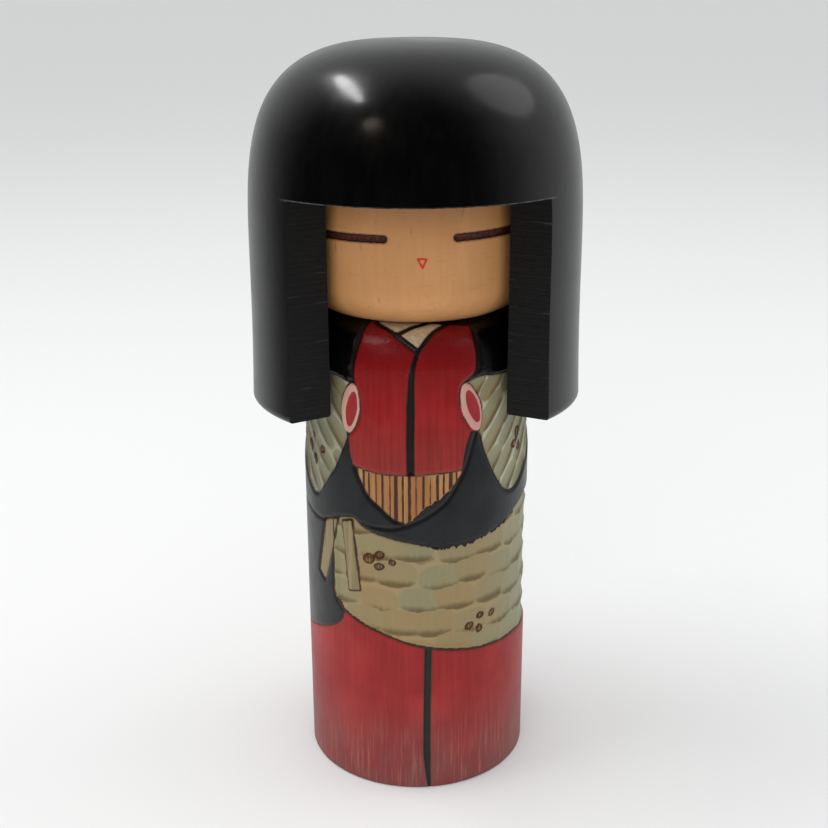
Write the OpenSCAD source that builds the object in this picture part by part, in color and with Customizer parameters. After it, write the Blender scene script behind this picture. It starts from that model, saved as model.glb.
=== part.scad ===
/* [Body] */
// Radius of the turned body
body_r = 30; // [26:0.5:31]
// Height of the body, which is also where the head sits on it
body_h = 127.2; // [115:0.1:135]
// Rounding of the shoulders
shoulder_r = 10; // [5:0.5:12]
// Small bevel round the foot of the body
foot_bevel = 0.4; // [0.2:0.1:1]

/* [Face block] */
// Radius of the plain wood block that shows the face
face_r = 29.1; // [27:0.1:30]
// Rounding under the chin
chin_r = 9; // [5:0.5:12]
// Height of the face block
face_h = 48.8; // [42:0.1:54]

/* [Hair] */
// Height of the top of the hair above the foot
hair_top = 193; // [190:0.5:200]
// Height at which the crown starts to curve in
crown_start = 134; // [130:0.5:140]
// Radius of the hair at the start of the crown
hair_r = 42.3; // [40:0.1:45]
// How much the sides flare out at the rim
flare = 0.6; // [0:0.1:1.5]
// Height of the rim above the foot
rim_z = 104; // [98:0.5:112]
// Rounding of the outer edge of the rim
rim_round = 0.8; // [0.3:0.1:1.5]
// Radius of the bore that clears the shoulders
hair_bore_r = 32.1; // [31.6:0.1:34]

/* [Face window] */
// Height of the straight edge of the fringe
fringe_z = 158.2; // [154:0.2:164]
// Half the width between the inner edges of the side locks
lock_inner_x = 21.8; // [18:0.5:24]
// Half the width between the outer edges of the side locks
lock_outer_x = 31.4; // [29:0.2:33]
// Distance of the outer edges in front of the axis
lock_outer_y = 28.8; // [28:0.1:31]

/* [Neck peg] */
// Radius of the dowel that joins head and body
peg_r = 7; // [5:0.5:9]
// Length of the dowel inside the face block
peg_in_head = 22; // [15:1:28]
// Length of the dowel inside the body
peg_in_body = 24; // [18:1:34]
// Bevel on the ends of the dowel
peg_bevel = 0.8; // [0.3:0.1:1.5]
// Radial clearance on which the dowel turns in the body
turning_gap = 0.08; // [0.03:0.01:0.1]

/* [Hidden] */

// Glued joints are this much wider than the piece inside them
glue_gap = 0.05;
// Air left past each end of the dowel
end_gap = 1;
// Height above the fringe at which the wide bore steps in to hold the face block
step_above_fringe = 4;
// Bevel round the mouth of the wide bore
bore_bevel = 0.5;
// Anything longer than the hair is deep, for cutting tools
reach = 60;

face_top = body_h + face_h;
crown_h = hair_top - crown_start;
step_z = fringe_z + step_above_fringe;
// Where the inner edge of each side lock lies on the wall of the bore
lock_inner_y = sqrt(hair_bore_r * hair_bore_r - lock_inner_x * lock_inner_x);
lock_slope = (lock_outer_y - lock_inner_y) / (lock_outer_x - lock_inner_x);

$fn = 96;

// Points of a quarter round, from angle a0 to a1, centred on c
function arc(c, r, a0, a1, steps = 12) =
    [for (i = [0:steps]) c + r * [cos(a0 + (a1 - a0) * i / steps), sin(a0 + (a1 - a0) * i / steps)]];

// Outer radius of the hair below the start of the crown
function side_r(z) = hair_r + flare * pow((crown_start - z) / (crown_start - rim_z), 2);

// The crown is a flattened dome: nearly upright sides that turn over into a low top
function crown(t) = [hair_r * pow(cos(t), 2 / 3), crown_start + crown_h * pow(sin(t), 1 / 2)];

module hole(r, z0, z1) {
    translate([0, 0, z0]) cylinder(r = r, h = z1 - z0);
}

// Turned body with rounded shoulders and a blind socket for the dowel
module body() {
    color("firebrick")
    difference() {
        rotate_extrude()
        polygon(concat(
            [[0, 0], [body_r - foot_bevel, 0], [body_r, foot_bevel]],
            arc([body_r - shoulder_r, body_h - shoulder_r], shoulder_r, 0, 90),
            [[0, body_h]]
        ));
        hole(peg_r + turning_gap, body_h - peg_in_body - end_gap, body_h + 1);
    }
}

// Dowel glued into the face block, which turns in the socket of the body
module neck_peg() {
    low = body_h - peg_in_body;
    high = body_h + peg_in_head;
    color("burlywood")
    rotate_extrude()
    polygon([
        [0, low],
        [peg_r - peg_bevel, low],
        [peg_r, low + peg_bevel],
        [peg_r, high - peg_bevel],
        [peg_r - peg_bevel, high],
        [0, high]
    ]);
}

// Plain turned block with a rounded chin, drilled from below for the dowel
module face_block() {
    color("tan")
    difference() {
        rotate_extrude()
        polygon(concat(
            [[0, body_h]],
            arc([face_r - chin_r, body_h + chin_r], chin_r, -90, 0),
            [[face_r, face_top], [0, face_top]]
        ));
        hole(peg_r + glue_gap, body_h - 1, body_h + peg_in_head + end_gap);
    }
}

// Outside of the hair: rim rounding, flared sides and crown
module hair_blank() {
    rim_r = side_r(rim_z + rim_round);
    side_steps = 8;
    crown_steps = 40;
    rotate_extrude()
    polygon(concat(
        [[0, rim_z]],
        arc([rim_r - rim_round, rim_z + rim_round], rim_round, -90, 0, 4),
        [for (i = [1:side_steps])
            let (z = rim_z + rim_round + (crown_start - rim_z - rim_round) * i / side_steps)
            [side_r(z), z]],
        // The squares pack more steps into the tight ends of the curve
        [for (i = [1:crown_steps - 1])
            let (u = i / crown_steps)
            crown(90 * u * u * (3 - 2 * u))],
        [[0, hair_top]]
    ));
}

// Bore from below: wide round the shoulders and the face, then a close socket for the face block
module hair_bore() {
    rotate_extrude()
    polygon([
        [0, rim_z - 1],
        [hair_bore_r + bore_bevel + 1, rim_z - 1],
        [hair_bore_r, rim_z + bore_bevel],
        [hair_bore_r, step_z],
        [face_r + glue_gap, step_z],
        [face_r + glue_gap, face_top],
        [0, face_top]
    ]);
}

// Everything in front of the two sawn faces of the side locks, up to the fringe
module window() {
    inside_x = lock_inner_x / 2;
    function lock_y(x) = -(lock_inner_y + lock_slope * (x - lock_inner_x));
    translate([0, 0, rim_z - 1])
    linear_extrude(fringe_z - rim_z + 1)
    polygon([
        [-reach, lock_y(reach)],
        [-inside_x, lock_y(inside_x)],
        [inside_x, lock_y(inside_x)],
        [reach, lock_y(reach)],
        [reach, -2 * reach],
        [-reach, -2 * reach]
    ]);
}

// Lacquered hair, turned and bored from one block and sawn open at the front
module hair_hood() {
    color("black")
    difference() {
        hair_blank();
        hair_bore();
        window();
    }
}

body();
neck_peg();
face_block();
hair_hood();
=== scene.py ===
import math

import bmesh
import bpy
import numpy as np
from mathutils import Euler, Matrix, Vector


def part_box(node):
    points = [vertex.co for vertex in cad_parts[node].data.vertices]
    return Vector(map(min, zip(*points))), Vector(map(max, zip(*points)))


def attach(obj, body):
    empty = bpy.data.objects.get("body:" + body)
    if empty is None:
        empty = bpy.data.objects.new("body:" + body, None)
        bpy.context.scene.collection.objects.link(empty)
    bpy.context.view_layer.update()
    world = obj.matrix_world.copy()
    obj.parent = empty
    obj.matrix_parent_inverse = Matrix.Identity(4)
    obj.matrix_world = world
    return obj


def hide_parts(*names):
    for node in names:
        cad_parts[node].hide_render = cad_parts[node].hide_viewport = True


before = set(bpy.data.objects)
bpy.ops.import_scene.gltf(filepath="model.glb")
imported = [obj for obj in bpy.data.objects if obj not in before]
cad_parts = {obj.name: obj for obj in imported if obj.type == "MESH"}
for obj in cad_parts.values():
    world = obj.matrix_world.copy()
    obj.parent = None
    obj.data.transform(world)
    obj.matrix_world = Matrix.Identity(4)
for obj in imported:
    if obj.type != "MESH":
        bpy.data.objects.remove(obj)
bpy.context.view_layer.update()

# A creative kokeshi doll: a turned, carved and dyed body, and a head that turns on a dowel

# ---------------------------------------------------------------------------------------
# Body blank. One cylinder of pale, straight-grained wood, turned on a lathe with rounded
# shoulders, sawn flat at the foot, and drilled from above for the neck dowel.
# Shapes are drawn in millimetres and brought to metres when a piece is finished.
# ---------------------------------------------------------------------------------------
TO_METRES = 0.001
body_r, _, body_h = np.array(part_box("body")[1]) / TO_METRES
shoulder_r = 10.0
foot_bevel = 0.4
socket_r = 7.08
socket_depth = 25.0
cell = 0.5               # height of one row of the blank's mesh
body_steps = 344         # columns of the mesh round the body
front_crowding = 0.36    # how much closer together the columns stand at the front


def arc(centre, radius, start, end, steps):
    """Points along a round stretch of a profile, angles in degrees."""
    turns = np.radians(np.linspace(start, end, steps + 1))
    return [(centre[0] + radius * math.cos(t), centre[1] + radius * math.sin(t)) for t in turns]


def straight(start, end, step):
    """Points from start up to, but not including, end."""
    count = max(1, round(math.dist(start, end) / step))
    return [tuple(np.array(start) + (np.array(end) - np.array(start)) * i / count) for i in range(count)]


def turned(profile, steps):
    """A closed bmesh turned from a profile of (radius, height) points, on the Z axis.

    An eighth of the round is spun, and then doubled three times.
    """
    bm = bmesh.new()
    dots = [bm.verts.new((0.0, -radius, height)) for radius, height in profile]
    edges = [bm.edges.new(pair) for pair in zip(dots, dots[1:])]
    bmesh.ops.spin(
        bm, geom=dots + edges, cent=(0, 0, 0), axis=(0, 0, 1), dvec=(0, 0, 0),
        angle=math.pi / 4, steps=steps // 8,
    )
    for share in (8, 4, 2):
        twin = bmesh.ops.duplicate(bm, geom=bm.verts[:] + bm.edges[:] + bm.faces[:])["geom"]
        onward = Matrix.Rotation(2 * math.pi / share, 3, "Z")
        bmesh.ops.rotate(bm, verts=[v for v in twin if isinstance(v, bmesh.types.BMVert)], matrix=onward)
    bmesh.ops.remove_doubles(bm, verts=bm.verts[:], dist=1e-3)
    bmesh.ops.recalc_face_normals(bm, faces=bm.faces[:])
    return bm


def as_object(bm, name):
    """A bmesh made into an object of the scene."""
    mesh = bpy.data.meshes.new(name)
    bm.to_mesh(mesh)
    bm.free()
    made = bpy.data.objects.new(name, mesh)
    bpy.context.scene.collection.objects.link(made)
    return made


def finished(bm, name, sharp_degrees):
    """The piece as an object in metres at the origin, smooth but for its sharp edges."""
    bmesh.ops.scale(bm, vec=(TO_METRES,) * 3, verts=bm.verts[:])
    piece = as_object(bm, name)
    piece.data.shade_smooth()
    piece.data.set_sharp_from_angle(angle=math.radians(sharp_degrees))
    return piece


shoulder_z = body_h - shoulder_r
flat_r = body_r - shoulder_r
body_profile = (
    straight((0, 0), (body_r - foot_bevel, 0), 3.0)
    + straight((body_r - foot_bevel, 0), (body_r, foot_bevel), foot_bevel)
    + straight((body_r, foot_bevel), (body_r, shoulder_z), cell)
    + arc((flat_r, shoulder_z), shoulder_r, 0, 90, 26)
    + straight((flat_r - 1.5, body_h), (socket_r, body_h), 1.5)
    + straight((socket_r, body_h), (socket_r, body_h - socket_depth), 4.0)
    + [(socket_r, body_h - socket_depth), (0, body_h - socket_depth)]
)
blank = finished(turned(body_profile, body_steps), "carved_body", 50)

# ---------------------------------------------------------------------------------------
# The dress. Its pattern is drawn on the body as on a sheet rolled round it: degrees from
# the front, positive to the right of someone facing the doll, and millimetres up the
# surface, which carries on over the rounded shoulders.
# ---------------------------------------------------------------------------------------
MM_PER_DEGREE = math.radians(1) * body_r
BACK = 180.0
dress_turn = -1.6        # the head does not look quite straight over the dress


def flow(points, steps=6):
    """A smooth hand-drawn line through a few points."""
    p = np.array([points[0], *points, points[-1]], dtype=float)
    t = np.linspace(0, 1, steps, endpoint=False)[:, None]
    runs = [
        0.5 * (2 * b + (c - a) * t + (2 * a - 5 * b + 4 * c - d) * t**2 + (3 * b - a - 3 * c + d) * t**3)
        for a, b, c, d in zip(p, p[1:], p[2:], p[3:])
    ]
    return [tuple(q) for run in runs for q in run] + [tuple(points[-1])]


def almond(centre, half_long, half_wide, lean):
    """A closed leaf shape standing on end, leaning by some degrees to the right."""
    outline = []
    for t in np.radians(np.arange(0, 360, 12)):
        along = half_long * math.cos(t)
        across = half_wide * math.sin(t) * (1 - 0.12 * abs(math.cos(t)))
        turn = math.radians(lean)
        outline.append((
            centre[0] + (across * math.cos(turn) + along * math.sin(turn)) / MM_PER_DEGREE,
            centre[1] + along * math.cos(turn) - across * math.sin(turn),
        ))
    return outline


chest_left = flow([(-31.5, 136), (-31.0, 129.6), (-30.5, 126.1), (-30.1, 122.4), (-30.9, 118.8),
                   (-31.7, 116.1), (-31.0, 113.4)])
chest_right = flow([(24.3, 114.0), (29.6, 115.9), (30.5, 118.9), (31.1, 122.0), (31.8, 125.0),
                    (33.9, 129.4), (35.0, 136)])
chest_low = flow([(-31.9, 91.6), (-20.3, 90.5), (-4.0, 90.4), (7.3, 90.6), (22.1, 91.0)])
collar_left = flow([(-27.0, 133), (-24.8, 130.6), (-14.0, 127.6), (-6.6, 124.9), (0.2, 122.2)])
collar_right = flow([(0.9, 122.2), (2.6, 123.2), (7.5, 126.4), (12.6, 128.4), (18.2, 129.8), (25.0, 132)])
collar_cross = flow([(-9.9, 126.6), (-5.0, 128.4), (-1.4, 129.5), (4.0, 130.6), (9.0, 131.6), (16, 132.6)])
neckline = flow([(2, 130.3), (10, 132.0), (16.8, 131.4), (22.8, 131.0), (28.6, 130.3), (33.6, 129.8),
                 (44, 129.8)])
front_seam = flow([(0.9, 122.0), (-1.6, 118.0), (-2.4, 113.5), (-2.7, 105.5), (-2.9, 98.0), (-2.8, 90.7),
                   (-2.8, 76)])
panel_left = flow([(-31.3, 91.2), (-24.9, 84.5), (-17.8, 81.1), (-10.9, 78.1), (-6.3, 77.4)])
panel_right = flow([(-6.3, 77.4), (-2.2, 78.6), (5.5, 82.2), (11.5, 84.1), (16.8, 86.7), (22.3, 91.0)])
yoke_left = flow([(-31.0, 113.4), (-35.5, 113.6), (-41.3, 114.3), (-60, 114.8), (-110, 114.8),
                  (-BACK, 114.8)])
yoke_right = flow([(24.3, 114.0), (31.6, 114.7), (36.1, 114.8), (46.3, 114.2), (70, 114.8),
                   (120, 114.8), (BACK, 114.8)])
sleeve_left = flow([(-30.6, 113.2), (-33.5, 106), (-35.0, 100.5), (-35.2, 98.0), (-38.7, 94.0),
                    (-42.7, 89.8), (-48.1, 86.0), (-53.5, 82.4), (-58.6, 79.9), (-65.6, 80.2),
                    (-74.2, 82.7), (-86, 86.5), (-98, 93), (-106, 103), (-108, 114.8)])
sleeve_right = flow([(24.3, 114.0), (28.0, 107), (31.2, 100.6), (33.9, 95.5), (38.1, 90.6), (42.2, 86.7),
                     (46.8, 83.5), (50.9, 81.9), (56.5, 81.5), (63.3, 82.6), (71.0, 85.2), (79.2, 87.6),
                     (92, 92), (103, 101), (107, 114.8)])
sash_top = flow([(-BACK - 20, 94), (-130, 94), (-105, 99), (-60, 100.8), (60, 100.8), (105, 99), (130, 94),
                 (BACK + 20, 94)])
sash_low = flow([(-BACK - 20, 76.4), (-BACK, 76), (-130, 75.4), (-79.0, 74.6), (-57.3, 73.6), (-45, 75.8),
                 (-33.7, 77.2), (-28.6, 75.4), (-21.6, 74.2), (-14.4, 73.3), (-5.6, 72.3), (7.4, 71.1),
                 (14.3, 70.7), (24.6, 70.9), (33.2, 71.6), (44.4, 72.9), (54.2, 74.5), (62.8, 75.8),
                 (75.0, 77.5), (95, 78.2), (130, 77.3), (BACK, 76), (BACK + 20, 75.8)])
sash_fold = flow([(29.5, 100.2), (28.6, 99.0), (26.8, 95.7), (23.7, 91.0), (18.6, 86.0), (13.2, 82.4),
                  (5.4, 79.4), (-3.2, 77.2), (-9.0, 76.2), (-14.4, 75.8), (-23.6, 75.9), (-31.4, 76.6)])
apron_low = flow([(-46.3, 76), (-46.2, 66), (-46.2, 59.6), (-45.9, 54.5), (-43.5, 51.8), (-38.3, 49.9),
                  (-28.5, 47.7), (-15.6, 45.6), (-3.5, 43.5), (8.2, 42.1), (20.3, 40.9), (34.2, 39.9),
                  (48.1, 39.4), (60.3, 39.2), (73.6, 38.7), (100, 38.4), (140, 38.8), (BACK, 39.6),
                  (220, 40.4), (250, 41.2), (264, 42.5), (267, 46), (267, 60), (267, 76)])
side_panel_low = flow([(-46.2, 60), (-46.2, 54), (-41.0, 51.6), (-39.6, 49.6), (-41.5, 46.9), (-45.7, 44.9),
                       (-52, 43.0), (-58.8, 41.5), (-68, 39.8), (-77, 38.4), (-87, 38.0), (-92, 40.5),
                       (-93, 47)])
skirt_seam = flow([(5.6, 52), (5.5, 42.0), (5.3, 35), (5.1, 27.0), (4.9, 18), (4.9, 11.0), (5.4, 5),
                   (6.0, 0.6)])
knot_flap = flow([(BACK - 31, 99.5), (BACK - 33, 90), (BACK - 31, 74), (BACK - 24, 71.5), (BACK, 70.8),
                  (BACK + 24, 71.5), (BACK + 31, 74), (BACK + 33, 90), (BACK + 31, 99.5)])
knot_band = flow([(BACK - 32, 88.5), (BACK, 87.6), (BACK + 32, 88.5)])
knot_band_low = flow([(BACK - 32, 83.2), (BACK, 82.2), (BACK + 32, 83.2)])
long_ribbon = [(-40.2, 75.4), (-33.8, 76.4), (-29.3, 57.0), (-36.7, 56.0)]
short_ribbon = [(-52.1, 74.4), (-42.9, 75.6), (-47.4, 66), (-50.1, 61.3), (-53.7, 56.1), (-59.9, 58.2),
                (-57, 64)]

cuffs = [almond((-33.1, 106.4), 6.8, 3.0, 8), almond((27.0, 107.1), 6.9, 2.9, -18)]
cuff_linings = [almond((-32.3, 106.3), 4.8, 1.65, 11), almond((27.8, 107.3), 4.7, 1.6, -20)]
petals = [
    almond((-24.8, 66.4), 1.5, 1.25, 70), almond((-19.1, 67.8), 1.25, 0.85, 80),
    almond((-19.2, 64.7), 1.3, 0.9, 80), almond((-12.3, 66.2), 0.85, 0.75, 60),
    almond((28.0, 46.6), 1.2, 0.85, 65), almond((34.5, 48.9), 1.0, 0.8, 70),
    almond((42.7, 48.3), 1.1, 0.9, 70), almond((33.7, 45.2), 1.0, 0.85, 20),
    almond((-64.0, 94.6), 1.6, 0.8, -30), almond((-69.5, 91.6), 1.6, 0.8, -20),
    almond((-55.5, 92.6), 1.1, 0.9, 60), almond((-63.3, 88.8), 1.4, 0.7, -30),
    almond((63.0, 96.0), 1.5, 1.0, 40), almond((58.8, 93.6), 1.2, 0.8, 60),
    almond((65.5, 92.0), 1.2, 0.8, 20),
    almond((118, 60), 1.5, 1.2, 70), almond((124, 61.6), 1.2, 0.85, 80), almond((124, 58.3), 1.2, 0.9, 80),
    almond((205, 50), 1.4, 1.1, 60), almond((211, 52), 1.1, 0.8, 80), almond((212, 48.6), 1.2, 0.9, 20),
]


def laid_out(piece):
    """The radius, the angle from the front and the height of each point of a turned piece.

    Columns of the mesh are drawn together at the front, where the fine work is.
    """
    where = np.empty(len(piece.data.vertices) * 3)
    piece.data.vertices.foreach_get("co", where)
    x, y, z = where.reshape(-1, 3).T / TO_METRES
    turn = np.arctan2(x, -y)
    return np.hypot(x, y), turn - front_crowding * np.sin(turn), z


radius, turn, level = laid_out(blank)
over_shoulder = np.clip(np.arctan2(level - shoulder_z, radius - flat_r), 0, math.pi / 2)
outside = (radius > socket_r + 0.5) & (level > body_h - socket_depth - 1) | (radius > body_r - 1)
up = np.where(level > shoulder_z, shoulder_z + shoulder_r * over_shoulder, level)
up += np.where(outside & (radius < flat_r) & (level > shoulder_z), flat_r - radius, 0)
drawn = np.stack([(np.degrees(turn) - dress_turn) * MM_PER_DEGREE, up], axis=1)


def on_sheet(outline):
    """Pattern points in degrees and millimetres, brought to millimetres both ways."""
    return np.array(outline, dtype=float) * (MM_PER_DEGREE, 1)


FAR = 3.0                # distances in the pattern are not needed past this


def reach(line, at):
    """Distance from every point to a line, or FAR where it is further off."""
    best = np.full(len(at), FAR)
    x, y = at.T.copy()
    for a, b in zip(line, line[1:]):
        low, high = np.minimum(a, b) - FAR, np.maximum(a, b) + FAR
        near = np.flatnonzero((x > low[0]) & (x < high[0]) & (y > low[1]) & (y < high[1]))
        off, run = at[near] - a, b - a
        share = np.clip((off @ run) / max(run @ run, 1e-12), 0, 1)
        best[near] = np.minimum(best[near], np.hypot(*(off - share[:, None] * run).T))
    return best


def within(outline, at):
    """Which points a closed outline holds."""
    held = np.zeros(len(at), dtype=bool)
    for (ax, ay), (bx, by) in zip(outline, np.roll(outline, -1, axis=0)):
        if ay != by:
            crosses = (ay > at[:, 1]) != (by > at[:, 1])
            held ^= crosses & (at[:, 0] < (bx - ax) * (at[:, 1] - ay) / (by - ay) + ax)
    return held


def turns_round(line):
    """The whole turns by which a line has to be repeated, because it may pass the back."""
    full = 360 * MM_PER_DEGREE
    return [k * full for k in (-1, 0, 1)
            if line[:, 0].max() + k * full > -full / 2 - 6 and line[:, 0].min() + k * full < full / 2 + 6]


def depth_in(*outlines):
    """How far inside the outlines each point of the surface lies, negative outside."""
    best = np.full(len(drawn), -FAR)
    for outline in outlines:
        line = on_sheet(outline)
        for shift in turns_round(line):
            moved = line + (shift, 0)
            apart = reach(np.vstack([moved, moved[:1]]), drawn)
            best = np.maximum(best, np.where(within(moved, drawn), apart, -apart))
    return best


def depth_of_stroke(width, *lines, taper=0.0):
    """How far inside a stroke of a given width each point lies; taper thins both its ends."""
    best = np.full(len(drawn), -FAR)
    for points in lines:
        line = on_sheet(points)
        for shift in turns_round(line):
            moved = line + (shift, 0)
            half = width / 2
            if taper:
                ends = np.minimum(np.hypot(*(drawn - moved[0]).T), np.hypot(*(drawn - moved[-1]).T))
                half = half * (0.45 + 0.55 * np.clip(ends / taper, 0, 1))
            best = np.maximum(best, half - reach(moved, drawn))
    return best


TOP = 160                # well above the shoulders, where an outline is closed out of sight
chest_outline = (
    chest_left + [(-33.9, 98.9), (-33.5, 95)]
    + chest_low + [(23.9, 97.3), (27, 101.5), (25.5, 108)]
    + chest_right + [(35, TOP), (-31.5, TOP)]
)
collar_outline = collar_left + collar_right + [(25, TOP), (-27, TOP)]
yoke_low = 114.8
yoke_outline = (
    yoke_left[::-1] + yoke_right
    + [(BACK + 20, yoke_low), (BACK + 20, TOP), (-BACK - 20, TOP), (-BACK - 20, yoke_low)]
)
coats = {
    "apron": depth_in(apron_low + [(267, 82), (-46.3, 82)]),
    "side_panel": depth_in([(-46.2, 80)] + side_panel_low + [(-93, 80)]),
    "sash": depth_in(sash_low + sash_top[::-1], knot_flap),
    "yoke": depth_in(yoke_outline),
    "sleeves": depth_in(
        sleeve_left + [(-108, 120), (-30.6, 120)], sleeve_right + [(107, 120), (24.3, 120)]
    ),
    "chest": depth_in(chest_outline),
    "panel": depth_in(panel_left + panel_right + chest_low[::-1]),
    "collar": depth_in(collar_outline),
    "back_dress": depth_in([(112, 93), (BACK, 95), (248, 93), (252, 114.8), (108, 114.8)]),
    "cuffs": depth_in(*cuffs),
    "cuff_linings": depth_in(*cuff_linings),
    "ribbons": depth_in(long_ribbon, short_ribbon),
    "petals": depth_in(*petals),
}

# Burnt lines, cut with a hot pen, and the two wide seams, cut with a gouge and stained.
# A slice takes only the stretch of an outline that the pen followed.
lines = {
    "burnt": np.max([
        depth_of_stroke(0.9, yoke_left, yoke_right),
        depth_of_stroke(1.25, chest_left, chest_right, taper=3),
        depth_of_stroke(1.15, collar_left, collar_right),
        depth_of_stroke(1.4, collar_cross),
        depth_of_stroke(2.7, neckline, taper=8),
        depth_of_stroke(0.7, sash_fold, sleeve_left[13:], panel_left),
        depth_of_stroke(0.8, sleeve_right[13:], sash_low, knot_flap, knot_band, knot_band_low),
    ], axis=0),
    "scorched": np.max([
        depth_of_stroke(0.75, apron_low[24:]),
        depth_of_stroke(0.5, apron_low[:25], chest_low, side_panel_low[8:]),
        depth_of_stroke(0.6, long_ribbon + long_ribbon[:1], short_ribbon + short_ribbon[:1]),
        depth_of_stroke(0.5, *[c + c[:1] for c in cuffs]),
    ], axis=0),
    "brushed": depth_of_stroke(1.7, sash_low[62:104], taper=9),
    "collar_groove": depth_of_stroke(1.7, collar_left[14:]),
    "petal_rims": depth_of_stroke(0.62, *[p + p[:1] for p in petals]),
    "seams": np.maximum(
        np.minimum(depth_of_stroke(2.0, front_seam, taper=14), coats["chest"] + 0.2),
        np.minimum(depth_of_stroke(1.9, skirt_seam, taper=9), -coats["apron"]),
    ),
}

# ---------------------------------------------------------------------------------------
# The carving. A shallow gouge leaves rows of scoops all over the apron and the sleeves, a
# fine one the pleats of the front panel, and the pen and the seams leave grooves.
# ---------------------------------------------------------------------------------------
chance = np.random.default_rng(11)


def scooped(area, pitch_long, pitch_wide, lean, depth, span):
    """Rows of overlapping gouge cuts: their depth, a tone for each, and how low in it a point is.

    A cut runs along the sheet, or leans by some degrees. The span is the first and last
    place of the cuts, along them and across them.
    """
    cos, sin = math.cos(math.radians(lean)), math.sin(math.radians(lean))
    here = np.flatnonzero(area > -1)
    long = drawn[here, 0] * cos + drawn[here, 1] * sin
    wide = -drawn[here, 0] * sin + drawn[here, 1] * cos
    cut, tone, low_side = np.zeros((3, len(here)))
    total = np.full(len(here), 1e-9)
    rows = range(math.floor(span[2] / pitch_wide), math.ceil(span[3] / pitch_wide))
    for row in rows:
        for col in range(math.floor(span[0] / pitch_long), math.ceil(span[1] / pitch_long)):
            mid_long = (col + 0.5 * (row % 2) + chance.uniform(-0.12, 0.12)) * pitch_long
            mid_wide = (row + chance.uniform(-0.13, 0.13)) * pitch_wide
            half_long = pitch_long * chance.uniform(0.64, 0.7)
            half_wide = pitch_wide * chance.uniform(0.64, 0.71)
            deepest = depth * chance.uniform(0.8, 1.15)
            own_tone = chance.uniform(0, 1)
            tilt = chance.uniform(-0.06, 0.06)
            du = (long - mid_long) / half_long
            dv = (wide - mid_wide - tilt * (long - mid_long)) / half_wide
            bowl = deepest * (1 - np.abs(du) ** 3.4 - np.abs(dv) ** 2.4) * np.clip(1 - 0.35 * dv, 0.5, 1.5)
            cut = np.maximum(cut, bowl)
            share = np.exp(20 * np.clip(bowl, -2, 2))
            total += share
            tone += share * own_tone
            low_side -= share * np.clip(dv, -1.2, 1.2)
    spread = np.zeros((3, len(drawn)))
    spread[:, here] = cut, tone / total, low_side / total
    return spread


half_round = BACK * MM_PER_DEGREE
apron_cut, apron_tone, apron_side = scooped(
    coats["apron"], pitch_long=10.3, pitch_wide=7.0, lean=0, depth=0.85,
    span=(-half_round, half_round, 36, 80),
)
on_sleeves = {"pitch_long": 11.5, "pitch_wide": 4.6, "depth": 0.8}
left = np.where(drawn[:, 0] < 0, coats["sleeves"], -FAR)
right = np.where(drawn[:, 0] > 0, coats["sleeves"], -FAR)
left_cut, left_tone, left_side = scooped(left, lean=-48, span=(-110, 0, 0, 80), **on_sleeves)
right_cut, right_tone, right_side = scooped(right, lean=48, span=(40, 140, 0, 120), **on_sleeves)
pleat_pitch = 1.72
uneven = 0.16 * np.sin(1.9 * drawn[:, 0]) + 0.12 * np.sin(3.1 * drawn[:, 0] + 1)
pleat_wave = 0.5 + 0.5 * np.cos(2 * math.pi * (drawn[:, 0] + uneven) / pleat_pitch)
pleats = np.where(coats["panel"] > 0, pleat_wave**2, 0)


def ramp(value, low, high):
    """Nought up to low, one from high, and a smooth step between."""
    share = np.clip((value - low) / (high - low), 0, 1)
    return share * share * (3 - 2 * share)


# Depths are in millimetres, and the ramps round the sides of each cut
bare_ribbon = 1 - ramp(coats["ribbons"], -0.6, 0.2)
bare_side = 1 - ramp(coats["side_panel"], -0.5, 0.3)
bare_sash = 1 - ramp(coats["sash"], -0.5, 0.3)
bare_cuff = 1 - ramp(coats["cuffs"], -0.6, 0.2)
apron_area = ramp(coats["apron"], 0.1, 1.1) * bare_ribbon * bare_side * bare_sash
bare_front = 1 - ramp(np.maximum(coats["yoke"], coats["chest"]), -0.6, 0.2)
sleeve_area = ramp(coats["sleeves"], 0.1, 1.1) * bare_cuff * bare_front
ground = 0.12            # a carved area lies this much lower even between its scoops
carving = apron_area * (ground + apron_cut) + sleeve_area * (ground + left_cut + right_cut)
carving += 0.22 * ramp(coats["ribbons"], -0.2, 0.3) * bare_sash
carving += 0.25 * ramp(coats["cuff_linings"], -0.3, 0.6)
carving += 0.28 * pleats * ramp(coats["panel"], 0, 0.8)

# Each groove's depth, and how far inside its stroke the cut begins and is at its deepest
grooves = {
    "burnt": (0.42, -0.28, 0.5),
    "scorched": (0.25, -0.25, 0.25),
    "collar_groove": (0.2, 0.2, 0.8),
    "petal_rims": (0.22, -0.2, 0.25),
    "seams": (0.75, -0.35, 0.9),
}
for stroke, (deepest, begins, full) in grooves.items():
    carving += deepest * ramp(lines[stroke], begins, full)
carving = np.where(outside, carving, 0)


def put_back(piece, radius, turn, level):
    """Moves the points of a turned piece to new radii, angles and heights."""
    where = np.stack([radius * np.sin(turn), -radius * np.cos(turn), level], axis=1)
    piece.data.vertices.foreach_set("co", (where * TO_METRES).ravel())


inward = np.cos(over_shoulder) * carving * (up > foot_bevel)
put_back(blank, radius - inward, turn, level - np.sin(over_shoulder) * carving)


def note(piece, name, values):
    """Keeps a number for every point of a piece, for its finish to read."""
    piece.data.attributes.new(name, "FLOAT", "POINT").data.foreach_set("value", values.astype(np.float32))


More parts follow.
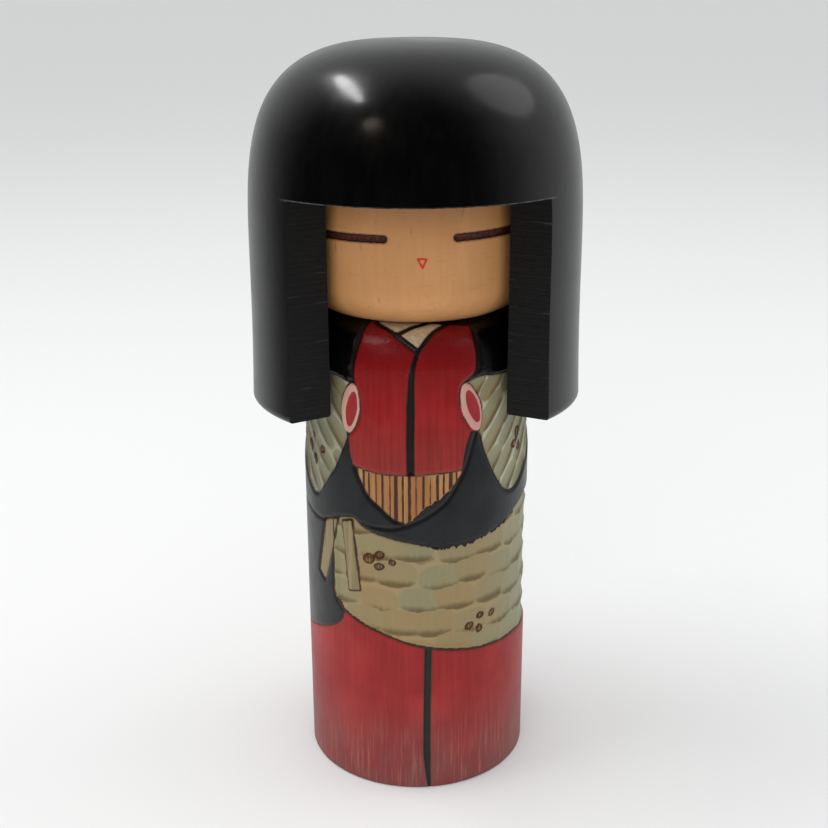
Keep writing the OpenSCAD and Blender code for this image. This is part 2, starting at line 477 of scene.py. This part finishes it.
for name, values in {**coats, **lines}.items():
    note(blank, name, values)
note(blank, "pleats", pleats)
note(blank, "cut_tone", np.where(coats["apron"] > 0, apron_tone, left_tone + right_tone))
note(blank, "cut_depth", np.where(coats["apron"] > 0, apron_cut, left_cut + right_cut))
note(blank, "cut_side", np.where(coats["apron"] > 0, apron_side, left_side + right_side))
note(blank, "outer", outside.astype(float))
blank.data.update()

# ---------------------------------------------------------------------------------------
# The colours of the dress: thin dyes that let the grain through, opaque slate and black
# paint, and brown scorch along the burnt lines, all under a satin wax.
# ---------------------------------------------------------------------------------------


def colour(red, green, blue):
    """A paint colour, given as it looks, 0 to 255, as the shader wants it."""
    shares = [c / 255 for c in (red, green, blue)]
    return (*(c / 12.92 if c <= 0.04045 else ((c + 0.055) / 1.055) ** 2.4 for c in shares), 1)


class Finish:
    """A material in the making. Each method adds nodes and gives back the result."""

    def __init__(self, name):
        self.material = bpy.data.materials.new(name)
        self.material.use_nodes = True
        self.tree = self.material.node_tree
        self.shader = self.tree.nodes["Principled BSDF"]
        place = self.node("ShaderNodeTexCoord", output="Object")
        self.place = self.node("ShaderNodeMapping", {"Vector": place, "Scale": (1 / TO_METRES,) * 3})

    def node(self, kind, inputs=(), output=0, **settings):
        made = self.tree.nodes.new(kind)
        for key, value in settings.items():
            setattr(made, key, value)
        for key, value in dict(inputs).items():
            self.feed(made.inputs[key], value)
        return made.outputs[output]

    def feed(self, socket, value):
        if isinstance(value, bpy.types.NodeSocket):
            self.tree.links.new(value, socket)
        else:
            socket.default_value = value

    def set(self, **sockets):
        for key, value in sockets.items():
            self.feed(self.shader.inputs[key.replace("_", " ")], value)

    def noted(self, name):
        return self.node("ShaderNodeAttribute", output="Fac", attribute_name=name)

    def along(self, axis):
        """The place along X, Y or Z, in millimetres."""
        return self.node("ShaderNodeSeparateXYZ", {0: self.place}, output=axis)

    def sums(self, operation, a, b=0.0, c=0.0):
        return self.node("ShaderNodeMath", {0: a, 1: b, 2: c}, operation=operation)

    def step(self, value, low, high, start=0.0, end=1.0):
        """start below low, end above high, smooth between."""
        return self.node(
            "ShaderNodeMapRange",
            {"Value": value, "From Min": low, "From Max": high, "To Min": start, "To Max": end},
            interpolation_type="SMOOTHSTEP",
        )

    def mix(self, amount, a, b):
        """A colour from a to b; a mix node keeps its two colours in sockets 6 and 7."""
        return self.node("ShaderNodeMix", {0: amount, 6: a, 7: b}, output=2, data_type="RGBA")

    def blotches(self, size, detail=2.0, stretch=(1, 1, 1), roughness=0.5, distortion=0.0):
        """Noise from 0 to 1 with patches of a size in millimetres, stretched along the axes."""
        at = self.node("ShaderNodeMapping", {"Vector": self.place, "Scale": tuple(1 / s for s in stretch)})
        return self.node("ShaderNodeTexNoise", {
            "Vector": at, "Scale": 1 / size, "Detail": detail, "Roughness": roughness,
            "Distortion": distortion,
        })

    def bump(self, height, depth_mm, strength):
        self.set(Normal=self.node(
            "ShaderNodeBump", {"Height": height, "Distance": depth_mm * TO_METRES, "Strength": strength}
        ))


dress = Finish("dyed_and_burnt_dress")
fibres = dress.blotches(0.9, detail=4, stretch=(1, 1, 26), roughness=0.62)
bands = dress.blotches(4.5, detail=3, stretch=(1, 1, 14), roughness=0.55)
cloudy = dress.blotches(9, detail=2)
ragged = dress.sums("SUBTRACT", dress.blotches(1.1, detail=3, stretch=(1, 1, 2.2)), 0.5)
height = dress.along("Z")

bare_wood = dress.mix(dress.step(fibres, 0.36, 0.68), colour(158, 116, 70), colour(192, 148, 98))
bare_wood = dress.mix(dress.step(bands, 0.35, 0.7, 0, 0.4), bare_wood, colour(164, 118, 72))

# Red dye: thin enough to show the fibres, and worn through to the wood towards the foot
red = dress.mix(dress.step(fibres, 0.3, 0.75), colour(132, 17, 19), colour(150, 27, 28))
red = dress.mix(dress.step(bands, 0.4, 0.75, 0, 0.5), red, colour(140, 14, 19))
red = dress.mix(dress.step(cloudy, 0.45, 0.7, 0, 0.35), red, colour(164, 38, 40))
fine_fibres = dress.blotches(0.55, detail=3, stretch=(1, 1, 24), roughness=0.6, distortion=0.1)
fading = dress.sums("MULTIPLY", dress.step(height, 30, 0), dress.step(fine_fibres, 0.5, 0.74))
old_wax = dress.sums("MULTIPLY", dress.step(height, 26, 0), dress.step(cloudy, 0.3, 0.65))
worn = dress.blotches(15, detail=1)
red_skirt = dress.mix(dress.step(worn, 0.5, 0.72, 0, 0.5), red, colour(168, 46, 44))
red_skirt = dress.mix(dress.step(height, 32, 4, 0, 0.42), red_skirt, colour(112, 68, 64))
red_skirt = dress.mix(dress.sums("MULTIPLY", old_wax, 0.75), red_skirt, colour(112, 64, 62))
red_skirt = dress.mix(dress.sums("MULTIPLY", fading, 0.55), red_skirt, colour(176, 112, 90))
long_fibres = dress.blotches(0.7, detail=3, stretch=(1, 1, 40), distortion=0.1)
streaks = dress.sums("MULTIPLY", dress.step(height, 118, 92, 0, 0.6), dress.step(long_fibres, 0.5, 0.36))
red_chest = dress.mix(streaks, red, colour(98, 10, 14))
red_chest = dress.mix(dress.step(height, 108, 94, 0, 0.3), red_chest, colour(128, 48, 36))
# Painted shade: the chest darker towards the top, under the hood
red_chest = dress.mix(dress.step(height, 104, 126), red_chest, colour(108, 8, 12))

# Green wash: each gouge cut took it a little differently, and the ridges are paler, partly worn tan and
# partly a painted highlight
tone = dress.noted("cut_tone")
green = dress.mix(dress.step(tone, 0.0, 0.45), colour(145, 124, 84), colour(139, 127, 91))
green = dress.mix(dress.step(tone, 0.5, 1.0, 0, 0.45), green, colour(130, 130, 102))
green = dress.mix(dress.step(cloudy, 0.42, 0.62, 0, 0.35), green, colour(150, 126, 86))
green = dress.mix(dress.step(fibres, 0.45, 0.75, 0, 0.12), green, colour(166, 150, 112))
# Painted light: a cooler grey-green towards both sides, for the bluish light from the side
from_middle = dress.sums("ABSOLUTE", dress.along("X"))
green = dress.mix(dress.step(from_middle, 13, 27, 0, 0.6), green, colour(132, 138, 112))
# Painted shade: darker along the low side of each gouge cut
scoop_shade_side = dress.sums("MULTIPLY_ADD", ragged, 0.25, dress.noted("cut_side"))
green = dress.mix(dress.step(scoop_shade_side, 0.38, 0.74, 0, 0.74), green, colour(88, 70, 40))
# Paler along the ridges: worn tan and a painted highlight
green = dress.mix(dress.step(dress.noted("cut_depth"), 0.46, 0.3, 0, 0.4), green, colour(166, 142, 100))
# Painted light: the sleeves' cuts paler on the side away from their shade
sleeve_green = dress.mix(dress.step(scoop_shade_side, 0.5, -0.2, 0, 0.6), green, colour(140, 142, 118))
# Paler still along the sleeves' ridges: wear and a painted highlight
sleeve_green = dress.mix(dress.step(dress.noted("cut_depth"), 0.5, 0.3, 0, 0.6), sleeve_green,
                         colour(194, 194, 170))
# Painted shade: the left sleeve, as one faces the doll, darker further to the left
sleeve_green = dress.mix(dress.step(dress.along("X"), -12, -24, 0, 0.4), sleeve_green, colour(92, 88, 66))

slate = dress.mix(dress.step(cloudy, 0.3, 0.7), colour(11, 13, 16), colour(22, 26, 31))
cream = dress.mix(dress.step(fibres, 0.35, 0.7), colour(164, 138, 110), colour(182, 160, 130))
olive_tan = dress.mix(dress.step(fibres, 0.35, 0.7), colour(126, 111, 76), colour(144, 130, 96))
pink = dress.mix(dress.step(cloudy, 0.35, 0.65), colour(190, 158, 138), colour(194, 142, 132))
brown = dress.mix(dress.step(fibres, 0.4, 0.7), colour(66, 28, 4), colour(98, 50, 14))

dress.look = dress.mix(dress.noted("outer"), bare_wood, red_skirt)
dress.rough = 0.44


def coat(name, paint, edge, rough):
    """Lays one colour over what is there, inside its outline, with a brushed edge."""
    inside = dress.sums("MULTIPLY_ADD", ragged, edge, dress.noted(name))
    cover = dress.step(inside, -0.1, 0.12)
    dress.look = dress.mix(cover, dress.look, paint)
    dress.rough = dress.node("ShaderNodeMix", {0: cover, 2: dress.rough, 3: rough}, data_type="FLOAT")


def stain(amount, paint):
    """Tints what is there, and leaves its gloss alone."""
    dress.look = dress.mix(amount, dress.look, paint)


coat("apron", green, 0.3, 0.48)
coat("side_panel", slate, 0.8, 0.36)
coat("back_dress", red_chest, 0.3, 0.42)
coat("sash", slate, 0.3, 0.37)
coat("sleeves", sleeve_green, 0.3, 0.48)
coat("yoke", colour(4, 4, 4), 0.2, 0.2)
coat("chest", red_chest, 0.2, 0.22)
panel_wood = dress.mix(dress.step(bands, 0.3, 0.7, 0.3, 0.8), bare_wood, colour(150, 94, 48))
dark_lines = dress.step(dress.sums("MULTIPLY_ADD", ragged, 0.45, dress.noted("pleats")), 0.42, 0.72)
coat("panel", dress.mix(dark_lines, panel_wood, colour(70, 36, 20)), 1.5, 0.5)
coat("collar", cream, 0.2, 0.45)
coat("cuffs", pink, 0.15, 0.5)
coat("cuff_linings", colour(150, 34, 38), 0.2, 0.45)
coat("ribbons", olive_tan, 0.25, 0.5)
hatching = dress.node(
    "ShaderNodeTexWave", {"Vector": dress.place, "Scale": 0.42, "Distortion": 1.5, "Detail Scale": 0.5},
    output=1, bands_direction="X",
)
hatching = dress.step(hatching, 0.15, 0.45, 0.38, 0.85)
stain(dress.sums("MULTIPLY", dress.step(dress.noted("petals"), -0.1, 0.2), hatching), brown)
coat("petal_rims", brown, 0.25, 0.6)
coat("scorched", colour(60, 40, 21), 0.35, 0.5)
stain(dress.step(dress.noted("burnt"), -0.6, 0.1, 0, 0.4), colour(40, 22, 16))
coat("burnt", colour(20, 13, 10), 0.3, 0.4)
coat("brushed", colour(14, 12, 10), 2.6, 0.5)
coat("collar_groove", colour(28, 16, 14), 0.2, 0.4)
stain(dress.step(dress.noted("collar_groove"), 0.5, 0.7), colour(74, 60, 64))
seam_stain = dress.mix(dress.step(height, 60, 80), colour(24, 32, 24), colour(26, 12, 12))
stain(dress.step(dress.noted("seams"), -0.35, 0.0, 0, 0.4), seam_stain)
coat("seams", seam_stain, 0.25, 0.45)

scuffs = dress.blotches(4, detail=3)
crackle = dress.blotches(0.5, detail=3)
scuffed = dress.sums("MULTIPLY_ADD", scuffs, 0.14, dress.sums("SUBTRACT", dress.rough, 0.07))
dress.set(Base_Color=dress.look, Roughness=scuffed, Specular_IOR_Level=0.4, IOR=1.45)
crazed = dress.sums("MULTIPLY", crackle, dress.step(height, 108, 120, 0.35, 1.6))
relief = dress.sums("MULTIPLY_ADD", bands, 0.6, dress.sums("ADD", crazed, fibres))
dress.bump(relief, 0.09, 0.5)
blank.data.materials.append(dress.material)
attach(blank, "body")
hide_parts("body")

# ---------------------------------------------------------------------------------------
# Neck peg. A plain turned dowel of bare wood, bevelled at both ends, glued into the face
# block and free to turn in the socket in the top of the body.
# ---------------------------------------------------------------------------------------
dowel = Finish("bare_dowel_wood")
dowel_fibres = dowel.blotches(0.7, detail=4, stretch=(1, 1, 30), roughness=0.6)
dowel_look = dowel.mix(dowel.step(dowel_fibres, 0.35, 0.7), colour(176, 132, 84), colour(214, 176, 124))
dowel.set(Base_Color=dowel_look, Roughness=dowel.step(dowel_fibres, 0.3, 0.7, 0.5, 0.68))
dowel.bump(dowel_fibres, 0.06, 0.5)
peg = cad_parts["neck_peg"]
peg.data.materials.clear()
peg.data.materials.append(dowel.material)

# ---------------------------------------------------------------------------------------
# Face block. A turned block of plain pale wood with a rounded chin, sanded and waxed. The
# closed eyes are burnt in as two bars that run back under the hair, and a small open
# triangle in red is the mouth.
# ---------------------------------------------------------------------------------------
face_low, face_high = (np.array(corner) / TO_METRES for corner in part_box("face_block"))
face_r = face_high[0]
chin_r = 9.0
peg_hole_r = 7.05
peg_hole_depth = 23.0
face_steps = 304
face_profile = (
    [(0, face_low[2] + peg_hole_depth)]
    + straight((peg_hole_r, face_low[2] + peg_hole_depth), (peg_hole_r, face_low[2]), 5.0)
    + straight((peg_hole_r, face_low[2]), (face_r - chin_r, face_low[2]), 2.0)
    + arc((face_r - chin_r, face_low[2] + chin_r), chin_r, -90, 0, 24)
    + straight((face_r, face_low[2] + chin_r + 0.5), (face_r, face_high[2]), 0.45)
    + [(face_r, face_high[2]), (face_r / 2, face_high[2]), (0, face_high[2])]
)
face = finished(turned(face_profile, face_steps), "face_block_wood", 50)

# The strokes are drawn on a sheet rolled round the body's radius, as the dress is
radius, turn, level = laid_out(face)
drawn = np.stack([(np.degrees(turn) - dress_turn) * MM_PER_DEGREE, level], axis=1)

# The eyes sit level, the mouth a little to the right of the middle
eye_z = 149.0
eye_width = 1.95
left_eye = [(-62, eye_z - 0.5), (-45, eye_z - 0.3), (-15.0, eye_z - 0.1)]
right_eye = [(19.6, eye_z + 0.1), (46, eye_z + 0.3), (62, eye_z + 0.3)]
mouth = [(0.8, 144.5), (5.1, 144.4), (3.1, 142.2), (0.8, 144.5)]
on_front = radius > face_r - 1
eyes = np.where(on_front, depth_of_stroke(eye_width, left_eye, right_eye), -FAR)
lips = np.where(on_front, depth_of_stroke(0.58, mouth), -FAR)
eye_depth = 0.32
put_back(face, radius - np.where(on_front, eye_depth * ramp(eyes, -0.3, 0.6), 0), turn, level)
note(face, "eyes", eyes)
note(face, "mouth", lips)
face.data.update()

skin = Finish("waxed_face_wood")
skin_fibres = skin.blotches(0.8, detail=4, stretch=(1, 1, 22), roughness=0.6)
skin_figure = skin.blotches(9, detail=2, stretch=(1, 1, 2.5), distortion=0.8)
flecks = skin.blotches(0.7, detail=2, stretch=(1.2, 1.2, 7), roughness=0.4)
tool_marks = skin.blotches(0.6, detail=2, stretch=(9, 9, 1))
skin_look = skin.mix(skin.step(skin_fibres, 0.3, 0.75), colour(192, 137, 86), colour(197, 143, 91))
skin_look = skin.mix(skin.step(skin_figure, 0.35, 0.68, 0, 0.45), skin_look, colour(180, 126, 74))
# Painted shade: the face darker towards the top, under the fringe
skin_look = skin.mix(skin.step(skin.along("Z"), 145, 156, 0, 0.4), skin_look, colour(170, 112, 62))
skin_look = skin.mix(skin.step(flecks, 0.68, 0.76, 0, 0.45), skin_look, colour(140, 92, 52))
skin_look = skin.mix(skin.step(tool_marks, 0.6, 0.8, 0, 0.3), skin_look, colour(150, 100, 56))
skin_ragged = skin.sums("SUBTRACT", skin.blotches(0.7, detail=3), 0.5)
eye_reach = skin.sums("MULTIPLY_ADD", skin_ragged, 0.4, skin.noted("eyes"))
skin_look = skin.mix(skin.step(eye_reach, -0.45, 0.0, 0, 0.55), skin_look, colour(104, 44, 22))
# The burnt eyes: dark at the edges of each bar, with a painted highlight along the middle
charred_with_highlight = skin.mix(skin.step(skin_ragged, -0.1, 0.15), colour(60, 18, 8), colour(86, 38, 22))
charred_with_highlight = skin.mix(skin.step(eye_reach, 0.55, 0.15), charred_with_highlight, colour(34, 10, 6))
skin_look = skin.mix(skin.step(eye_reach, -0.1, 0.14), skin_look, charred_with_highlight)
mouth_cover = skin.step(skin.sums("MULTIPLY_ADD", skin_ragged, 0.16, skin.noted("mouth")), -0.06, 0.08)
skin_look = skin.mix(mouth_cover, skin_look, colour(198, 40, 18))
waxed = skin.step(skin_fibres, 0.3, 0.7, 0.42, 0.52)
skin_rough = skin.sums("ADD", waxed, skin.step(eye_reach, -0.2, 0.2, 0, 0.2))
skin.set(Base_Color=skin_look, Roughness=skin_rough, IOR=1.45)
skin.bump(skin.sums("ADD", skin_fibres, skin.sums("MULTIPLY", tool_marks, 0.8)), 0.04, 0.35)
face.data.materials.append(skin.material)
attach(face, "head")
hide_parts("face_block")

# ---------------------------------------------------------------------------------------
# Hair. One deep hood turned from a block, bored from below to clear the shoulders, and
# sawn open at the front: a level cut for the fringe and a slanted one for each side lock.
# The outside is glossy black lacquer, the sawn faces are left matt with their saw marks.
# ---------------------------------------------------------------------------------------
hair_low, hair_high = (np.array(corner) / TO_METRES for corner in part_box("hair_hood"))
rim_z = hair_low[2]
hair_top = hair_high[2]
crown_start = 134.0
hair_r = 42.28
flare = hair_high[0] - hair_r
rim_round = 0.8
bore_r = 32.1
bore_bevel = 0.5
socket_z = 162.2
socket_wall_r = 29.15
fringe_z = 158.2
lock_inner_x = 21.8
lock_outer = (31.4, -28.8)
hair_steps = 256


def crown(t):
    """The crown's profile, squarer than a dome, from the sides at 0 degrees to the top at 90."""
    rise = math.sin(math.radians(t)) ** 0.5
    return hair_r * math.cos(math.radians(t)) ** (2 / 3), crown_start + (hair_top - crown_start) * rise


def side(z):
    """The side's radius, which flares a little towards the rim."""
    return hair_r + flare * ((crown_start - z) / (crown_start - rim_z)) ** 2, z


rim_r = side(rim_z + rim_round)[0]
hair_profile = (
    [(0, face_high[2])]
    + straight((socket_wall_r, face_high[2]), (socket_wall_r, socket_z), 3.0)
    + [(socket_wall_r, socket_z)]
    + straight((bore_r, socket_z), (bore_r, rim_z + bore_bevel), 1.5)
    + [(bore_r, rim_z + bore_bevel), (bore_r + bore_bevel, rim_z)]
    + arc((rim_r - rim_round, rim_z + rim_round), rim_round, -90, 0, 5)
    + [side(z) for z in np.linspace(rim_z + rim_round, crown_start, 22)[1:]]
    + [crown(90 * u * u * (3 - 2 * u)) for u in np.linspace(0, 1, 72)[1:-1]]
    + [(0, hair_top)]
)
hood = turned(hair_profile, hair_steps)

inner_y = -math.sqrt(bore_r**2 - lock_inner_x**2)
lock_run = Vector((lock_outer[0] - lock_inner_x, lock_outer[1] - inner_y, 0)).normalized()
lock_faces = []
for hand in (-1, 1):
    out = Vector((hand * lock_run.y, -lock_run.x, 0))
    lock_faces.append((hand, Vector((hand * lock_inner_x, inner_y, 0)), out))


def centre(f):
    return f.calc_center_median()


bmesh.ops.bisect_plane(
    hood, geom=hood.verts[:] + hood.edges[:] + hood.faces[:], dist=1e-5,
    plane_co=(0, 0, fringe_z), plane_no=(0, 0, 1),
)
for hand, point, out in lock_faces:
    faces = [f for f in hood.faces if centre(f).z < fringe_z and centre(f).x * hand > 0 and centre(f).y < 0]
    parts = {v for f in faces for v in f.verts} | {e for f in faces for e in f.edges} | set(faces)
    bmesh.ops.bisect_plane(hood, geom=list(parts), dist=1e-5, plane_co=point, plane_no=out)
waste = [
    f for f in hood.faces
    if centre(f).z < fringe_z and centre(f).y < 0
    and any(centre(f).x * hand >= 0 and (centre(f) - point).dot(out) > 0 for hand, point, out in lock_faces)
]
bmesh.ops.delete(hood, geom=waste, context="FACES")

# The three sawn faces close the opening
rims = [e for e in hood.edges if e.is_boundary]
for hand, point, out in lock_faces:
    ends = [v for v in {v for e in rims for v in e.verts}
            if abs(v.co.z - fringe_z) < 1e-3 and abs((v.co - point).dot(out)) < 1e-3 and v.co.x * hand > 0]
    hood.edges.new(ends)
sawn = []
for on_plane in (
    [lambda v: abs(v.co.z - fringe_z) < 1e-3]
    + [lambda v, p=point, o=out, h=hand: abs((v.co - p).dot(o)) < 1e-3 and v.co.x * h > 0
       for hand, point, out in lock_faces]
):
    loop = [e for e in hood.edges if len(e.link_faces) < 2 and all(on_plane(v) for v in e.verts)]
    sawn += bmesh.ops.contextual_create(hood, geom=loop)["faces"]
bmesh.ops.recalc_face_normals(hood, faces=hood.faces[:])
for f in sawn:
    f.material_index = 1
bmesh.ops.triangulate(hood, faces=sawn)

hair = finished(hood, "lacquered_hair", 28)

lacquer = Finish("black_lacquer")
brush_marks = lacquer.blotches(1.6, detail=3, stretch=(1, 1, 30))
smudges = lacquer.blotches(10, detail=3)
slow_wave = lacquer.blotches(16, detail=1)
ripples = lacquer.blotches(5, detail=2)
black = lacquer.mix(lacquer.step(brush_marks, 0.4, 0.7), colour(2, 2, 2), colour(6, 6, 6))


def pale_fringe_edge(finish, base):
    """Pale grey along the sharp edge of the fringe."""
    off_edge = finish.sums("ABSOLUTE", finish.sums("SUBTRACT", finish.along("Z"), fringe_z))
    edge_paling = finish.sums("MULTIPLY_ADD", finish.blotches(1.5, detail=2), 0.5, -0.1)
    edge_paling = finish.sums("MULTIPLY", edge_paling, finish.step(off_edge, 0.32, 0.12))
    edge_paling = finish.sums("MULTIPLY", edge_paling, finish.step(finish.along("Y"), -26, -29))
    return finish.mix(edge_paling, base, colour(170, 168, 162))


lacquer.set(
    Base_Color=pale_fringe_edge(lacquer, black), Roughness=0.36, Specular_IOR_Level=0.15, IOR=1.5,
    Coat_Weight=0.85, Coat_Roughness=lacquer.step(smudges, 0.35, 0.7, 0.15, 0.25),
)
rolling = lacquer.sums("MULTIPLY_ADD", ripples, 3.5, lacquer.sums("MULTIPLY", slow_wave, 3.0))
lacquer.bump(lacquer.sums("ADD", brush_marks, rolling), 0.05, 0.35)
matt_black = Finish("matt_black_sawn_wood")
saw_marks = matt_black.blotches(0.42, detail=4, stretch=(34, 34, 1), roughness=0.7)
deep_marks = matt_black.blotches(0.8, detail=2, stretch=(16, 16, 1), roughness=0.4)
sawn_look = matt_black.mix(matt_black.step(saw_marks, 0.52, 0.8), colour(9, 9, 9), colour(26, 26, 26))
sawn_look = matt_black.mix(matt_black.step(deep_marks, 0.66, 0.74, 0, 0.5), sawn_look, colour(58, 58, 56))
sawn_rough = matt_black.step(saw_marks, 0.3, 0.7, 0.52, 0.64)
matt_black.set(Base_Color=pale_fringe_edge(matt_black, sawn_look), Roughness=sawn_rough, IOR=1.45)
matt_black.bump(matt_black.sums("ADD", saw_marks, deep_marks), 0.12, 0.6)
hair.data.materials.append(lacquer.material)
hair.data.materials.append(matt_black.material)
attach(hair, "head")
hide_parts("hair_hood")

# ---------------------------------------------------------------------------------------
# Studio: a wide pale table, a long light high on the left, a round one on the right, a small
# warm one in front, soft fills, and a pale room that is dark in front, which keeps the
# lacquer black.
# ---------------------------------------------------------------------------------------
table_bm = bmesh.new()
bmesh.ops.create_circle(table_bm, cap_ends=True, segments=128, radius=60)
table = as_object(table_bm, "pale_table")
paper = Finish("pale_paper")
paper.set(Base_Color=(0.8, 0.8, 0.795, 1), Roughness=0.7, Specular_IOR_Level=0.2)
table.data.materials.append(paper.material)

# A low paper screen round the doll, dark in front; only mirrored light shows it
to_bright_side = (0.35, 0.94, 0)
fade = (-0.5, 0.38, 0.01, 0.5)       # where it starts and ends, and how bright it is there
pale = (0.98, 0.99, 1, 1)
screen_bm = bmesh.new()
bmesh.ops.create_circle(screen_bm, cap_ends=False, segments=64, radius=0.3)
raised = bmesh.ops.extrude_edge_only(screen_bm, edges=screen_bm.edges[:])["geom"]
rim = [v for v in raised if isinstance(v, bmesh.types.BMVert)]
bmesh.ops.translate(screen_bm, verts=rim, vec=(0, 0, 0.25))
screen = as_object(screen_bm, "paper_screen")
shade = Finish("paper_screen")
outward = shade.node("ShaderNodeVectorMath", {0: shade.place}, operation="NORMALIZE")
brightward = shade.node(
    "ShaderNodeVectorMath", {0: outward, 1: to_bright_side}, output="Value", operation="DOT_PRODUCT"
)
shade.set(
    Base_Color=(0, 0, 0, 1), Specular_IOR_Level=0.0,
    Emission_Color=pale, Emission_Strength=shade.step(brightward, *fade),
)
shade.material.cycles.emission_sampling = "NONE"
screen.data.materials.append(shade.material)
for kind_of_ray in ("camera", "diffuse", "transmission", "shadow"):
    setattr(screen, "visible_" + kind_of_ray, False)

world = bpy.data.worlds.new("soft_room")
world.use_nodes = True
bpy.context.scene.world = world
room = world.node_tree.nodes
join = world.node_tree.links.new
brightward = room.new("ShaderNodeVectorMath")
brightward.operation = "DOT_PRODUCT"
join(room.new("ShaderNodeTexCoord").outputs["Generated"], brightward.inputs[0])
brightward.inputs[1].default_value = to_bright_side
mirrored_room = room.new("ShaderNodeMapRange")
mirrored_room.interpolation_type = "SMOOTHSTEP"
join(brightward.outputs["Value"], mirrored_room.inputs["Value"])
for key, value in zip(("From Min", "From Max", "To Min", "To Max"), fade):
    mirrored_room.inputs[key].default_value = value
ray = room.new("ShaderNodeLightPath")
room_light = 0.87
backdrop = 0.67
lit = room.new("ShaderNodeMix")
join(ray.outputs["Is Glossy Ray"], lit.inputs[0])
lit.inputs[2].default_value = room_light
join(mirrored_room.outputs[0], lit.inputs[3])
seen = room.new("ShaderNodeMix")
join(ray.outputs["Is Camera Ray"], seen.inputs[0])
join(lit.outputs[0], seen.inputs[2])
seen.inputs[3].default_value = backdrop
join(seen.outputs[0], room["Background"].inputs["Strength"])
room["Background"].inputs["Color"].default_value = pale
world.cycles.sampling_method = "NONE"
bpy.context.scene.view_settings.view_transform = "Standard"


def soft_box(name, azimuth, elevation, distance, size, radiance, tint=(1, 1, 1), mirrored=True):
    """A light that looks at the neck of the doll; azimuth 0 is in front, 90 to the right."""
    light = bpy.data.lights.new(name, "AREA")
    light.shape = "ELLIPSE"
    light.size, light.size_y = size
    area = math.pi / 4 * size[0] * size[1]
    light.energy = radiance * math.pi * area
    light.color = tint
    box = bpy.data.objects.new(name, light)
    box.visible_glossy = mirrored
    across, rise = math.radians(azimuth), math.radians(elevation)
    level_part = math.cos(rise)
    away = Vector((math.sin(across) * level_part, -math.cos(across) * level_part, math.sin(rise)))
    box.location = Vector((0, 0, body_h * TO_METRES)) + away * distance
    box.rotation_euler = away.to_track_quat("Z", "Y").to_euler()
    bpy.context.scene.collection.objects.link(box)


soft_box("left_strip", -93.5, 60, 1.06, (0.76, 0.14), 15.0)
soft_box("right_soft_box", 98, 48, 1.2, (0.85, 0.85), 0.9)
soft_box("right_fill", 105, 16, 1.0, (0.6, 0.6), 0.8, (0.85, 0.95, 1), mirrored=False)
soft_box("warm_window", -36, 39, 1.0, (0.17, 0.16), 2.4, (1, 0.85, 0.7))
soft_box("front_fill", -15, 24, 1.0, (0.5, 0.4), 2.4, (1, 0.97, 0.93), mirrored=False)

camera = bpy.data.cameras.new("camera")
camera.lens = 54.18
camera.sensor_width = 36
camera.clip_start = 0.01
viewer = bpy.data.objects.new("camera", camera)
look_down = math.radians(18.77)
camera_roll = math.radians(0.24)
aim = Euler((math.pi / 2 - look_down, 0, 0)).to_matrix().to_4x4() @ Matrix.Rotation(-camera_roll, 4, "Z")
walk_round = Matrix.Rotation(math.radians(dress_turn), 4, "Z")
stand = Matrix.Translation((-0.00055, -0.3161, 0.2038))
viewer.matrix_world = walk_round @ stand @ aim
bpy.context.scene.collection.objects.link(viewer)
bpy.context.scene.camera = viewer
